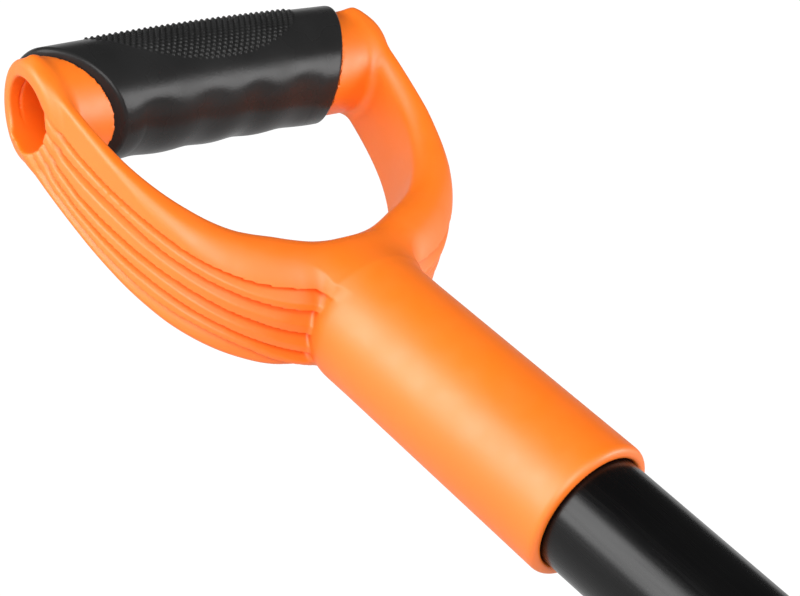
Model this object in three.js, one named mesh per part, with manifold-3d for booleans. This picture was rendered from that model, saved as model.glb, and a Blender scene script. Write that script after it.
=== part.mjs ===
// Snow shovel with a moulded D-grip, a two-part telescoping shaft with a cam-lever
// clamp, and a pressed blade held on the shaft by a spring button.
// Millimetres. +Y runs from the blade to the grip, +X along the crossbar,
// +Z up with the shovel lying on the back of its blade.
import * as THREE from 'three';
import { mergeVertices } from 'three/addons/utils/BufferGeometryUtils.js';
import Module from 'manifold-3d';

const wasm = await Module();
wasm.setup();

// ---------------------------------------------------------------- dimensions
const LENGTH_OUT = 870;          // over all, shaft pulled out
const GAP = 0.3;                 // free space between touching pieces
const AXIS_Z = 19.3;             // height of the shaft's axis above the ground

const GRIP_TOP_R = 16.4;         // rubber sleeve radius
const BAR_Y = LENGTH_OUT / 2 - GRIP_TOP_R;   // crossbar axis
const BAR_Z = AXIS_Z + 21.1;
const BAR_R = 13.0;              // crossbar core
const BAR_BORE_R = 9.8;          // its hollow
const BAR_HALF = 58.8;           // half the width over the bosses
const BOSS_R = 14.2;
const ARM_STEPS = 18;            // stations along each arm

const COLLAR_R_TOP = 18.4, COLLAR_R_MOUTH = 19.3;
const COLLAR_TOP = -71, COLLAR_MOUTH = -165;   // from the crossbar
const UPPER_R = 16.0, UPPER_WALL = 1.4;
const UPPER_TOP = -100, UPPER_END = -372;        // from the crossbar
const LOWER_R = 13.5, LOWER_WALL = 1.5;
const LOWER_TOP = -312, LOWER_END = -640;
const TRAVEL = 135;              // how far the shaft shortens

const CLAMP_R = 19.3, CLAMP_LEN = 26, CLAMP_LIP = 3.0;
const EAR_X = 25.5;              // clamp bolt's distance from the axis
const LEVER_W = 22;

const SOCKET_R_IN = LOWER_R + GAP, SOCKET_R_OUT = 16.3;
const SOCKET_TOP = -524, SOCKET_END = -664;
const BUTTON_Y = -548, BUTTON_R = 4.0, BUTTON_PROUD = 2.6;

const BLADE_TOP = -566, BLADE_BOTTOM = BLADE_TOP - (LENGTH_OUT - 566 - GRIP_TOP_R); // cutting edge
const BLADE_T = 2.0, BLADE_HALF_TOP = 104, BLADE_HALF_BOTTOM = 117;
const WALL_TOP = 44, WALL_BOTTOM = 13;           // side wall heights
const RIVET_X = 24.5;

// ------------------------------------------------------------------- helpers
const solid = (g) => {
  const c = g.index ? g.clone() : g;
  c.deleteAttribute('normal'); c.deleteAttribute('uv');
  const m = mergeVertices(c, 1e-4);
  const vertProperties = new Float32Array(m.attributes.position.array);
  const triVerts = new Uint32Array(m.index.array);
  const s = new wasm.Manifold(new wasm.Mesh({ numProp: 3, vertProperties, triVerts }));
  if (s.volume() > 0) return s;
  return new wasm.Manifold(new wasm.Mesh({ numProp: 3, vertProperties, triVerts: triVerts.reverse() }));
};
const geometry = (s) => {
  const m = s.getMesh(), g = new THREE.BufferGeometry();
  g.setAttribute('position', new THREE.BufferAttribute(new Float32Array(m.vertProperties), 3));
  g.setIndex(new THREE.BufferAttribute(new Uint32Array(m.triVerts), 1));
  return g;
};
const cut = (a, ...bs) => bs.reduce((s, b) => s.subtract(b), a);
const join = (a, ...bs) => bs.reduce((s, b) => s.add(b), a);

// a cylinder along x, y or z, from lo to hi on that axis
const rod = (axis, r, lo, hi, p = [0, 0, 0], seg = 40, r2 = r) => {
  const g = new THREE.CylinderGeometry(r2, r, hi - lo, seg);   // +y end has r2
  if (axis === 'x') g.rotateZ(-Math.PI / 2);
  if (axis === 'z') g.rotateX(Math.PI / 2);
  const c = (lo + hi) / 2;
  g.translate(p[0] + (axis === 'x' ? c : 0), p[1] + (axis === 'y' ? c : 0), p[2] + (axis === 'z' ? c : 0));
  return solid(g);
};
const block = (x0, x1, y0, y1, z0, z1) => {
  const g = new THREE.BoxGeometry(x1 - x0, y1 - y0, z1 - z0);
  g.translate((x0 + x1) / 2, (y0 + y1) / 2, (z0 + z1) / 2);
  return solid(g);
};
// a profile of [radius, distance along y] turned about the y axis
const turned = (pts, seg = 48) => {
  const open = pts[0][0] > 0 && pts[0] !== pts[pts.length - 1];   // a ring's profile closes on itself
  const all = open ? [...pts, pts[0]] : pts;
  return solid(new THREE.LatheGeometry(all.map(([r, y]) => new THREE.Vector2(r, y)), seg));
};
const shape = (pts) => new THREE.Shape(pts.map(([a, b]) => new THREE.Vector2(a, b)));
// an outline in x, y pushed up from z0 to z1
const plate = (pts, z0, z1, holes = []) => {
  const s = shape(pts);
  for (const h of holes) s.holes.push(new THREE.Path(h.map(([a, b]) => new THREE.Vector2(a, b))));
  const g = new THREE.ExtrudeGeometry(s, { depth: z1 - z0, bevelEnabled: false });
  g.translate(0, 0, z0);
  return solid(g);
};
// an outline in y, z pushed along x
const side = (pts, x0, x1) => {
  const g = new THREE.ExtrudeGeometry(shape(pts), { depth: x1 - x0, bevelEnabled: false });
  g.applyMatrix4(new THREE.Matrix4().set(0, 0, 1, x0, 1, 0, 0, 0, 0, 1, 0, 0, 0, 0, 0, 1));
  return solid(g);
};
// an outline in x, z pushed along y
const front = (pts, y0, y1) => {
  const g = new THREE.ExtrudeGeometry(shape(pts), { depth: y1 - y0, bevelEnabled: false });
  g.applyMatrix4(new THREE.Matrix4().set(1, 0, 0, 0, 0, 0, -1, y1, 0, 1, 0, 0, 0, 0, 0, 1));
  return solid(g);
};
const smooth = (pts, n) => new THREE.CatmullRomCurve3(
  pts.map(([a, b]) => new THREE.Vector3(a, b, 0)), false, 'centripetal').getPoints(n).map((v) => [v.x, v.y]);
const mirror = (pts) => pts.map(([a, b]) => [-a, b]).reverse();
const arc = (cx, cy, r, a0, a1, n) => Array.from({ length: n + 1 }, (_, i) => {
  const a = (a0 + (a1 - a0) * i / n) * Math.PI / 180;
  return [cx + r * Math.cos(a), cy + r * Math.sin(a)];
});

const group = new THREE.Group();
const mat = (color, roughness, metalness = 0) => new THREE.MeshStandardMaterial({ color, roughness, metalness });
const ORANGE = mat(0xff7a10, 0.42), RUBBER = mat(0x333333, 0.7), BLACK = mat(0x17181a, 0.32, 0.4);
const PLASTIC = mat(0x1c1c1d, 0.55), STEEL = mat(0x9a9c9e, 0.35, 0.9), ALLOY = mat(0xa9adb1, 0.38, 0.9);
const put = (name, s, material) => {
  const mesh = new THREE.Mesh(geometry(s), material);
  mesh.name = name;
  group.add(mesh);
  return s;
};

const Y0 = BAR_Y;                       // distances below are from the crossbar
const onAxis = (pts) => pts.map(([r, y]) => [r, y + Y0]);
const lift = (s) => s.translate([0, 0, AXIS_Z]);

// -------------------------------------------------------------------- D-grip
// How far out the sleeve's ends lie at a distance y from the crossbar's axis: the
// ends slant in towards the middle on the side of the shaft.
const slantX = (y) => 51.9 - 0.55 * (Math.hypot(y - 8.4, 2) - (y - 8.4)) / 2;
const slantPlate = (gap, y0, y1) => {
  const right = Array.from({ length: 19 }, (_, i) => y0 + (y1 - y0) * i / 18).map((y) => [slantX(y) + gap, y + Y0]);
  return plate([...right, ...mirror(right)], -20, 100);
};
const between = (x, xs, vs) => {
  let i = 1;
  while (i < xs.length - 1 && x > xs[i]) i++;
  const t = Math.min(1, Math.max(0, (x - xs[i - 1]) / (xs[i] - xs[i - 1])));
  return vs[i - 1] + (vs[i] - vs[i - 1]) * t;
};
// Yoke: deep arms between an outer and an inner curve, seen from above as a D and
// from the side rising from the shaft to the crossbar, with a boss at each end and
// the shaft's collar.
{
  const c = [0, Y0, BAR_Z];
  const outer = smooth([[56.6, 8], [58.1, 1.2], [58.8, -5.6], [58.5, -12.4], [57.9, -19.2], [57.1, -25.9], [56.1, -32.7], [54.7, -39.4], [52.9, -46],
    [50.4, -52.4], [47.2, -58.3], [43, -63.7], [38, -68.5], [32.4, -72.4], [26.3, -75.6], [19.9, -77.8], [13.3, -79.4], [6.6, -80.6], [0, -81]], ARM_STEPS);
  const inner = smooth([[53.2, 8], [53.4, 2.3], [53.5, -3.4], [53.4, -9.1], [53, -14.8], [52.3, -20.5], [51.2, -26.1], [49.6, -31.6], [47.4, -36.8],
    [44.6, -41.8], [41.2, -46.4], [37.2, -50.6], [32.6, -54], [27.5, -56.4], [22.1, -58.4], [16.8, -60.5], [11.3, -62.2], [5.7, -63], [0, -63.1]], ARM_STEPS);
  // one section across the arm: distance in from the outer curve, height from the middle
  const section = (u, T) => {
    const h = 11.87 * (1 - u) * (1 - 2 * u) + 4 * 13.91 * u * (1 - u) + 14.31 * u * (2 * u - 1) + 0.35;
    const ea = Math.min(0.66 * T, 9), eb = between(u, [0, 0.4, 0.7], [6, 6.5, 8]), rl = between(u, [0, 0.5], [2.2, 4.45]);
    const rt = Math.min(0.95 * between(u, [0, 0.2, 0.35, 0.5, 0.65, 1], [1.2, 1.3, 1.8, 4, 8, 12]), T - ea - 0.3);
    return [[0, rl - h], [0, h - rt], [0.134 * rt, h - 0.5 * rt], [0.5 * rt, h - 0.134 * rt], [rt, h], [T - ea, h], [T - 0.5 * ea, h - 0.134 * eb],
      [T - 0.134 * ea, h - 0.5 * eb], [T, h - eb], [T, 1 - h], [T - 1, -h], [rl, -h], [0.29 * rl, 0.29 * rl - h]];
  };
  const rings = [];
  for (let i = 0; i <= 2 * ARM_STEPS; i++) {
    const k = Math.min(i, 2 * ARM_STEPS - i), sx = i <= ARM_STEPS ? 1 : -1;
    const [ox, oy] = outer[k], [ix, iy] = inner[k], T = Math.hypot(ix - ox, iy - oy), y = (oy + iy) / 2;
    const z = AXIS_Z + Math.max(-1, 23.36 + 0.31 * Math.min(y, 2));
    rings.push(section(k / ARM_STEPS, T).map(([d, v]) => [sx * (ox + (ix - ox) * d / T), oy + (iy - oy) * d / T + Y0, z + v]));
  }
  const K = rings[0].length, idx = [];
  for (let i = 0; i < rings.length - 1; i++) {
    for (let j = 0; j < K; j++) {
      const n = (j + 1) % K, p = i * K, q = p + K;
      idx.push(p + j, q + j, q + n, p + j, q + n, p + n);
    }
  }
  const last = (rings.length - 1) * K;
  for (let j = 1; j < K - 1; j++) idx.push(0, j, j + 1, last, last + j + 1, last + j);
  const g = new THREE.BufferGeometry();
  g.setAttribute('position', new THREE.Float32BufferAttribute(rings.flat(2), 3));
  g.setIndex(idx);
  let yoke = solid(g).intersect(block(-80, 80, -130 + Y0, 5 + Y0, -20, 100));
  yoke = yoke.subtract(rod('x', GRIP_TOP_R + 1, -70, 70, c, 48).intersect(slantPlate(GAP, -18, 18)));
  // bosses, which take the sleeve's slanted ends and have slightly crowned faces
  const inFace = Array.from({ length: 13 }, (_, i) => -15 + 30 * i / 12).map((y) => [slantX(y) + GAP, y + Y0]);
  const outFace = [[54.75, 15], [55, 14], [56.6, 8], [58.1, 1.2], [BAR_HALF, -5.6], [58.5, -12.4], [58.3, -15]].map(([x, y]) => [x, y + Y0]);
  for (const s of [1, -1]) {
    const face = [...outFace, ...inFace];
    const boss = plate(s > 0 ? face : mirror(face), -20, 100);
    yoke = yoke.add(rod('x', BOSS_R, -70, 70, c, 48).intersect(boss));
  }
  yoke = yoke.add(rod('x', BAR_R, -52, 52, c, 48));
  // the collar, domed over the shaft's end
  const collar = turned(onAxis([[0, COLLAR_TOP], ...arc(COLLAR_R_TOP - 13, COLLAR_TOP - 13, 13, 90, 0, 6), [COLLAR_R_MOUTH, COLLAR_MOUTH + 3],
    [COLLAR_R_MOUTH - 0.9, COLLAR_MOUTH], [0, COLLAR_MOUTH]].reverse()), 64);
  yoke = yoke.add(lift(collar));
  yoke = cut(yoke,
    lift(rod('y', UPPER_R + GAP, COLLAR_MOUTH - 5 + Y0, UPPER_TOP + 1 + Y0, [0, 0, 0], 44)),
    rod('x', BAR_BORE_R, -BAR_HALF - 8, BAR_HALF + 8, c, 40),
    rod('z', 4.6, -1, 2.6, [0, -112 + Y0, 0], 24),
    rod('z', 2.4, 1, 6, [0, -112 + Y0, 0], 24));
  put('d_grip', yoke, ORANGE);
}
// Rubber sleeve over the crossbar, its ends slanted
{
  const s = rod('x', GRIP_TOP_R, -70, 70, [0, Y0, BAR_Z], 56).intersect(slantPlate(0, -18, 18));
  put('grip_sleeve', cut(s, rod('x', BAR_R + GAP, -70, 70, [0, Y0, BAR_Z], 48)), RUBBER);
}
// Screw that holds the yoke on the tube, from underneath
{
  let s = rod('z', 4.2, 0.5, 2.3, [0, -112 + Y0, 0], 24, 4.2).add(rod('z', 2.1, 2.2, 8.5, [0, -112 + Y0, 0], 20));
  s = s.subtract(block(-2.6, 2.6, -112.5 + Y0, -111.5 + Y0, 0, 1.2)).subtract(block(-0.5, 0.5, -114.6 + Y0, -109.4 + Y0, 0, 1.2));
  put('grip_screw', s, STEEL);
}

// --------------------------------------------------------------- upper shaft
{
  let t = lift(rod('y', UPPER_R, UPPER_END + Y0, UPPER_TOP + Y0, [0, 0, 0], 44));
  t = t.subtract(lift(rod('y', UPPER_R - UPPER_WALL, UPPER_END - 1 + Y0, UPPER_TOP + 1 + Y0, [0, 0, 0], 44)));
  t = t.subtract(rod('z', 2.4, -1, 8, [0, -112 + Y0, 0], 24));
  // relief slot at the mouth, so that the clamp can close it
  t = t.subtract(block(UPPER_R - 3, UPPER_R + 2, UPPER_END - 1 + Y0, UPPER_END + 34 + Y0, AXIS_Z - 1, AXIS_Z + 1));
  put('upper_shaft', t, BLACK);
}
// Split ring clamp round the mouth, with two ears and a cam lever
const EAR_Y = UPPER_END - CLAMP_LIP + Y0, CLAMP_Y1 = EAR_Y + CLAMP_LEN;
const BOLT_Y = (EAR_Y + CLAMP_Y1) / 2;
const EAR_LO = AXIS_Z - 7.5, EAR_HI = AXIS_Z + 8.5, PIN_Z = AXIS_Z + 14.6, PIN_X = EAR_X;
{
  let b = lift(rod('y', CLAMP_R, EAR_Y, CLAMP_Y1, [0, 0, 0], 44));
  b = b.add(block(CLAMP_R - 3.2, EAR_X + 5.5, EAR_Y, CLAMP_Y1, EAR_LO, EAR_HI));
  b = cut(b,
    lift(rod('y', UPPER_R + GAP, EAR_Y + CLAMP_LIP - GAP, CLAMP_Y1 + 1, [0, 0, 0], 44)),
    lift(rod('y', LOWER_R + GAP, EAR_Y - 1, EAR_Y + CLAMP_LIP, [0, 0, 0], 40)),
    block(UPPER_R - 4, EAR_X + 8, EAR_Y - 1, CLAMP_Y1 + 1, AXIS_Z - 1.2, AXIS_Z + 1.2),
    rod('z', 2.8, EAR_LO - 2, EAR_HI + 2, [EAR_X, BOLT_Y, 0], 24));
  put('clamp_ring', b, PLASTIC);
  // bolt: an eye at the top holds the lever's pin
  let bolt = rod('z', 2.4, EAR_LO - 8.4, PIN_Z - 2, [EAR_X, BOLT_Y, 0], 24);
  bolt = bolt.add(rod('y', 4.4, BOLT_Y - 2.6, BOLT_Y + 2.6, [PIN_X, 0, PIN_Z], 28));
  bolt = bolt.subtract(rod('y', 2.4, BOLT_Y - 4, BOLT_Y + 4, [PIN_X, 0, PIN_Z], 24));
  put('clamp_bolt', bolt, STEEL);
  // thumb nut under the ears, with a scalloped rim
  let nut = rod('z', 6.0, EAR_LO - 6.3, EAR_LO - GAP, [EAR_X, BOLT_Y, 0], 32);
  for (let i = 0; i < 8; i++) {
    const a = i * Math.PI / 4;
    nut = nut.subtract(rod('z', 1.2, EAR_LO - 8, EAR_LO + 1, [EAR_X + 6.4 * Math.cos(a), BOLT_Y + 6.4 * Math.sin(a), 0], 12));
  }
  nut = nut.subtract(rod('z', 2.7, EAR_LO - 8, EAR_LO + 1, [EAR_X, BOLT_Y, 0], 24));
  put('clamp_nut', nut, STEEL);
  put('clamp_pin', rod('y', 2.1, BOLT_Y - LEVER_W / 2 + 1, BOLT_Y + LEVER_W / 2 - 1, [PIN_X, 0, PIN_Z], 24), STEEL);
  // lever: two cam cheeks round the pin and a curved handle over the ring
  const R1 = CLAMP_R + 1.6, R2 = R1 + 4.0;
  const curve = [...arc(0, AXIS_Z, R2, 48, 158, 22), ...arc(0, AXIS_Z, R1, 158, 40, 22)];
  let lever = front(curve, BOLT_Y - LEVER_W / 2, BOLT_Y + LEVER_W / 2);
  lever = lever.add(rod('y', 5.8, BOLT_Y - LEVER_W / 2, BOLT_Y + LEVER_W / 2, [PIN_X, 0, PIN_Z], 32));
  lever = lever.add(front([[14, AXIS_Z + 15.6], [PIN_X, PIN_Z - 1.5], [PIN_X + 2, PIN_Z + 5.5], [12, AXIS_Z + 21.6]], BOLT_Y - LEVER_W / 2, BOLT_Y + LEVER_W / 2));
  lever = cut(lever,
    lift(rod('y', CLAMP_R + 1.4, BOLT_Y - 30, BOLT_Y + 30, [0, 0, 0], 44)),
    block(PIN_X - 8.5, PIN_X + 12, BOLT_Y - 3.2, BOLT_Y + 3.2, PIN_Z - 12, PIN_Z + 12),
    rod('y', 2.4, BOLT_Y - 30, BOLT_Y + 30, [PIN_X, 0, PIN_Z], 24));
  put('clamp_lever', lever, PLASTIC);
}

// --------------------------------------------------------------- lower shaft
{
  let t = lift(rod('y', LOWER_R, LOWER_END + Y0, LOWER_TOP + Y0, [0, 0, 0], 44));
  t = t.subtract(lift(rod('y', LOWER_R - LOWER_WALL, LOWER_END - 1 + Y0, LOWER_TOP + 1 + Y0, [0, 0, 0], 36)));
  t = t.subtract(rod('z', BUTTON_R + GAP, AXIS_Z + 8, AXIS_Z + 18, [0, BUTTON_Y + Y0, 0], 28));
  put('lower_shaft', t, BLACK);
  // guide bush: a sleeve on its upper end that runs in the upper tube, and
  // meets the clamp's lip when the shaft is fully out
  const ro = UPPER_R - UPPER_WALL - 0.2, yb = UPPER_END + GAP;
  const b = lift(turned([[LOWER_R + GAP, yb], [ro, yb], [ro, LOWER_TOP + 4], [ro - 1, LOWER_TOP + 5], [10.4, LOWER_TOP + 5],
    [10.4, LOWER_TOP - 14], [LOWER_R - LOWER_WALL - GAP, LOWER_TOP - 14], [LOWER_R - LOWER_WALL - GAP, LOWER_TOP + GAP],
    [LOWER_R + GAP, LOWER_TOP + GAP]].map(([r, y]) => [r, y + Y0]), 40));
  put('guide_bush', b, PLASTIC);
  // plug in its bottom end
  let p = lift(rod('y', LOWER_R - LOWER_WALL - GAP, LOWER_END + Y0, LOWER_END + 14 + Y0, [0, 0, 0], 36))
    .add(lift(rod('y', LOWER_R, LOWER_END - 2.5 + Y0, LOWER_END - GAP + Y0, [0, 0, 0], 36)))
    .add(lift(rod('y', LOWER_R - LOWER_WALL - 2, LOWER_END - 1 + Y0, LOWER_END + 1 + Y0, [0, 0, 0], 40)));
  put('shaft_plug', p, PLASTIC);
}
// Spring button through the shaft and the socket, on a bent leaf inside the tube
{
  const top = AXIS_Z + SOCKET_R_OUT + BUTTON_PROUD;
  const b = turned([[0, AXIS_Z + 9.7], [5.0, AXIS_Z + 9.7], [5.0, AXIS_Z + 10.5], [BUTTON_R, AXIS_Z + 10.5], [BUTTON_R, top - 1.4],
    [BUTTON_R - 0.5, top - 0.5], [BUTTON_R - 1.5, top], [0, top]], 32).rotate([90, 0, 0]).translate([0, BUTTON_Y + Y0, 0]);
  put('blade_button', b, STEEL);
  const y = BUTTON_Y + Y0, z = AXIS_Z;
  const leaf = side([[y + 6, z + 9.4], [y - 40, z + 5.2], [y - 46, z + 1.5], [y - 46, z - 3], [y - 40, z - 7.6], [y + 8, z - 11.1],
    [y + 8, z - 10.3], [y - 39.6, z - 6.8], [y - 45.2, z - 2.6], [y - 45.2, z + 1.2], [y - 39.6, z + 4.4], [y + 6, z + 8.6]], -3.5, 3.5);
  put('button_spring', leaf, STEEL);
}

// --------------------------------------------------------------------- blade
// Socket: a tube with a flange along each side, riveted to the blade
{
  const yA = SOCKET_END + Y0, yB = SOCKET_TOP + Y0, yF = BLADE_TOP - 6 + Y0, zF = BLADE_T + GAP;
  let s = lift(rod('y', SOCKET_R_OUT, yA, yB, [0, 0, 0], 44));
  s = s.add(block(-31, 31, yA, yF, zF, zF + 2.6));
  s = s.add(front([[-18.5, zF + 1], [18.5, zF + 1], [14.5, AXIS_Z - 6], [-14.5, AXIS_Z - 6]], yA, yF));
  s = cut(s,
    lift(rod('y', SOCKET_R_IN, yA - 1, yB + 1, [0, 0, 0], 44)),
    rod('z', BUTTON_R + GAP, AXIS_Z + 8, AXIS_Z + 26, [0, BUTTON_Y + Y0, 0], 28));
  for (const sx of [-1, 1]) for (const i of [0, 1, 2]) {
    s = s.subtract(rod('z', 2.6, -1, 8, [sx * RIVET_X, yF - 12 - i * 34, 0], 20));
  }
  put('blade_socket', s, ALLOY);
  let n = 0;
  for (const sx of [-1, 1]) for (const i of [0, 1, 2]) {
    const p = [sx * RIVET_X, yF - 12 - i * 34, 0];
    const r = rod('z', 2.3, 0.9, zF + 3.2, p, 20).add(
      turned([[0, 0], [4.6, 0], [4.2, 1.2], [2.8, 2.1], [0, 2.5]], 24).rotate([90, 0, 0]).translate([p[0], p[1], zF + 2.6 + GAP]));
    put(`rivet_${++n}`, r, STEEL);
  }
  // Blade: a pressed sheet, flat in the middle, its sides and top turned up
  const b0 = BLADE_BOTTOM + Y0, t0 = BLADE_TOP + Y0;
  const T = BLADE_T;
  const rows = [];                         // [y, half width of the floor, wall height]
  const N = 14;
  for (let i = 0; i <= N; i++) {
    const u = i / N;                       // 0 at the cutting edge
    rows.push([b0 + u * (t0 - b0), BLADE_HALF_BOTTOM + (BLADE_HALF_TOP - BLADE_HALF_BOTTOM) * u,
      WALL_BOTTOM + (WALL_TOP - WALL_BOTTOM) * Math.pow(u, 0.8)]);
  }
  // lofted as a closed skin: section across x, one per row
  const M = 7;
  const sect = (w, h, off) => {
    // from the left wall's lip down, along the floor, up to the right lip
    const r = 16, pts = [], ang = 72;
    const half = [];
    const k = (ang * Math.PI) / 180;
    const xc = w - r * Math.sin(k) - (h - r * (1 - Math.cos(k))) / Math.tan(k);
    half.push([0, 0]); half.push([xc * 0.5, 0]); half.push([xc, 0]);
    for (let j = 1; j <= M; j++) { const a = k * j / M; half.push([xc + r * Math.sin(a), r * (1 - Math.cos(a))]); }
    half.push([w, h]);
    for (let j = half.length - 1; j > 0; j--) pts.push([-half[j][0], half[j][1]]);
    for (const q of half) pts.push(q);
    if (!off) return pts;
    // inward offset by the sheet's thickness
    return pts.map((p, j) => {
      const a = pts[Math.max(0, j - 1)], b = pts[Math.min(pts.length - 1, j + 1)];
      const dx = b[0] - a[0], dy = b[1] - a[1], L = Math.hypot(dx, dy);
      return [p[0] - dy / L * off, p[1] + dx / L * off];
    });
  };
  const K = sect(100, 30, 0).length, pos = [], idx = [];
  const minH = 16 * (1 - Math.cos(72 * Math.PI / 180)) + 0.5;
  for (const [y, w, h] of rows) {
    for (const [x, z] of sect(w, Math.max(h, minH), 0)) pos.push(x, y, z);
    for (const [x, z] of sect(w, Math.max(h, minH), T)) pos.push(x, y, z);
  }
  const at = (i, side2, j) => i * 2 * K + side2 * K + j;
  const quad = (a, b, c, d) => idx.push(a, b, c, a, c, d);
  for (let i = 0; i < rows.length - 1; i++) {
    for (let j = 0; j < K - 1; j++) {
      quad(at(i, 0, j), at(i + 1, 0, j), at(i + 1, 0, j + 1), at(i, 0, j + 1));      // outside, facing down
      quad(at(i, 1, j), at(i, 1, j + 1), at(i + 1, 1, j + 1), at(i + 1, 1, j));      // inside, facing up
    }
    quad(at(i, 0, 0), at(i, 1, 0), at(i + 1, 1, 0), at(i + 1, 0, 0));
    quad(at(i, 0, K - 1), at(i + 1, 0, K - 1), at(i + 1, 1, K - 1), at(i, 1, K - 1));
  }
  const L = rows.length - 1;
  for (let j = 0; j < K - 1; j++) {
    quad(at(0, 0, j), at(0, 0, j + 1), at(0, 1, j + 1), at(0, 1, j));
    quad(at(L, 0, j), at(L, 1, j), at(L, 1, j + 1), at(L, 0, j + 1));
  }
  const g = new THREE.BufferGeometry();
  g.setAttribute('position', new THREE.Float32BufferAttribute(pos, 3));
  g.setIndex(idx);
  let blade = solid(g);
  if (blade.volume() < 0) throw new Error('blade is inside out');
  // low back wall along the shoulder, with a notch for the socket
  const hw = BLADE_HALF_TOP;
  const xf = hw - 16 * Math.sin(1.2566) - (WALL_TOP - 16 * (1 - Math.cos(1.2566))) / Math.tan(1.2566);   // where the floor's flat ends
  const zw = WALL_TOP * 0.62, xw = xf + 15.6 * Math.sin(1.2566) + (zw - 16 + 15.6 * Math.cos(1.2566)) / Math.tan(1.2566);
  const rightHalf = [...arc(xf, 16, 15.6, -90, -18, 8), [xw, zw], [hw * 0.42, 30], [26, 17]];
  const wall = front([...rightHalf, ...mirror(rightHalf)], t0 - T, t0);
  blade = blade.add(wall);
  blade = blade.subtract(lift(rod('y', SOCKET_R_OUT + 0.6, t0 - 30, t0 + 8, [0, 0, 0], 36)));
  blade = blade.subtract(block(-17, 17, t0 - 5, t0 + 5, T, AXIS_Z + 30));
  // rounded corners at the cutting edge
  const cr = 38;
  for (const sx of [-1, 1]) {
    const x = BLADE_HALF_BOTTOM + 3;
    const corner = [[x + 2, b0 - 2], ...arc(x - cr, b0 + cr - 0.5, cr, 0, -90, 10)].map(([a, b]) => [sx * a, b]);
    if (sx < 0) corner.reverse();
    blade = blade.subtract(plate(corner, -5, 60));
  }
  // pressed stiffening ribs either side of the socket, raised from the floor
  for (const x of [-62, 62]) {
    const rib = turned([[0, -76], [3.6, -74], [6, -66], [6, 66], [3.6, 74], [0, 76]], 24).scale([1, 1, 0.55]).translate([x, (b0 + t0) / 2 - 12, T - 0.6]);
    const up = rib.intersect(block(x - 10, x + 10, b0, t0, T - 0.3, 20));
    blade = blade.add(up);
  }
  for (const sx of [-1, 1]) for (const i of [0, 1, 2]) {
    blade = blade.subtract(rod('z', 2.6, -1, 5, [sx * RIVET_X, yF - 12 - i * 34, 0], 20));
    blade = blade.subtract(rod('z', 4.4, -1, 0.6, [sx * RIVET_X, yF - 12 - i * 34, 0], 20));
  }
  put('blade', blade, ALLOY);
}

export default group;
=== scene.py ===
import bpy, math
import numpy as np
from mathutils import Matrix, Vector


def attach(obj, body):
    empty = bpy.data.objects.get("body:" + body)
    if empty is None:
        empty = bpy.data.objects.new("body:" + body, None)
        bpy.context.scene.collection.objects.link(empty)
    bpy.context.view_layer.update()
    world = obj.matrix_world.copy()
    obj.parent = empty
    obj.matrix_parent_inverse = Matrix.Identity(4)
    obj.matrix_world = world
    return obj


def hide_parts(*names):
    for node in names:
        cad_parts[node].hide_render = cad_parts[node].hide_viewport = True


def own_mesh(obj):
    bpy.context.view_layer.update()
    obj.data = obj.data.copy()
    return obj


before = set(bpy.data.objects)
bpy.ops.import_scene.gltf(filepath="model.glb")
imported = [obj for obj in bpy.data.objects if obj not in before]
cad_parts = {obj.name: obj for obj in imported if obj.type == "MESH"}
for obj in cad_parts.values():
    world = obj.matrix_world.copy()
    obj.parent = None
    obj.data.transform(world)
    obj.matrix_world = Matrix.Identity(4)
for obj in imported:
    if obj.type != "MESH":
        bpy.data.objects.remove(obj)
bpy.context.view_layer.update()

# ------------------------------------------------------------------ dimensions
# millimetres, repeated from the CAD source
GAP = 0.3
AZ = 19.3
Y0 = 435.0 - 16.4
BAR_Z, BAR_R, BOSS_R, HOLE_R = AZ + 21.1, 13.0, 14.2, 9.8
SLEEVE_R = 16.4
COLLAR_TOP, COLLAR_MOUTH = -71.0, -165.0
RT, RM = 18.4, 19.3
UPPER_R, UPPER_WALL, UPPER_TOP, UPPER_END = 16.0, 1.4, -100.0, -372.0
LOWER_R, LOWER_WALL, LOWER_TOP, LOWER_END = 13.5, 1.5, -312.0, -640.0
EAR_Y, EAR_X = UPPER_END - 3.0 + Y0, 25.5
CLAMP_Y1 = EAR_Y + 26.0
BOLT_Y = (EAR_Y + CLAMP_Y1) / 2
EAR_LO, EAR_HI, PIN_Z = AZ - 7.5, AZ + 8.5, AZ + 14.6
LEVER_W = 22.0
SOCKET_TOP, SOCKET_END, SOCK_RO, SOCK_RI = -524.0, -664.0, 16.3, 13.8
BUTTON_Y, BUTTON_R, PROUD = -548.0, 4.0, 2.6
BLADE_TOP, BLADE_BOTTOM = -566.0, -566.0 - (870 - 566 - 16.4)
T = 2.0

# --------------------------------------------------------------------- camera
cam_data = bpy.data.cameras.new("camera")
cam_data.sensor_fit, cam_data.sensor_width = "HORIZONTAL", 36.0
cam_data.lens = 2600.0 / 800.0 * 36.0
cam_data.clip_start, cam_data.clip_end = 0.01, 20.0
cam = bpy.data.objects.new("camera", cam_data)
bpy.context.scene.collection.objects.link(cam)
right = Vector((0.7014, -0.6500, 0.2925)).normalized()
fwd = Vector((0.6890, 0.5131, -0.5119)).normalized()
right = (right - fwd * right.dot(fwd)).normalized()
up = right.cross(fwd)
cam.matrix_world = Matrix.Translation(Vector((-0.45619, (-428.44 + Y0) / 1000, (350.62 + AZ) / 1000))) @ \
    Matrix((right, up, -fwd)).transposed().to_4x4()
bpy.context.scene.camera = cam

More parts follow.
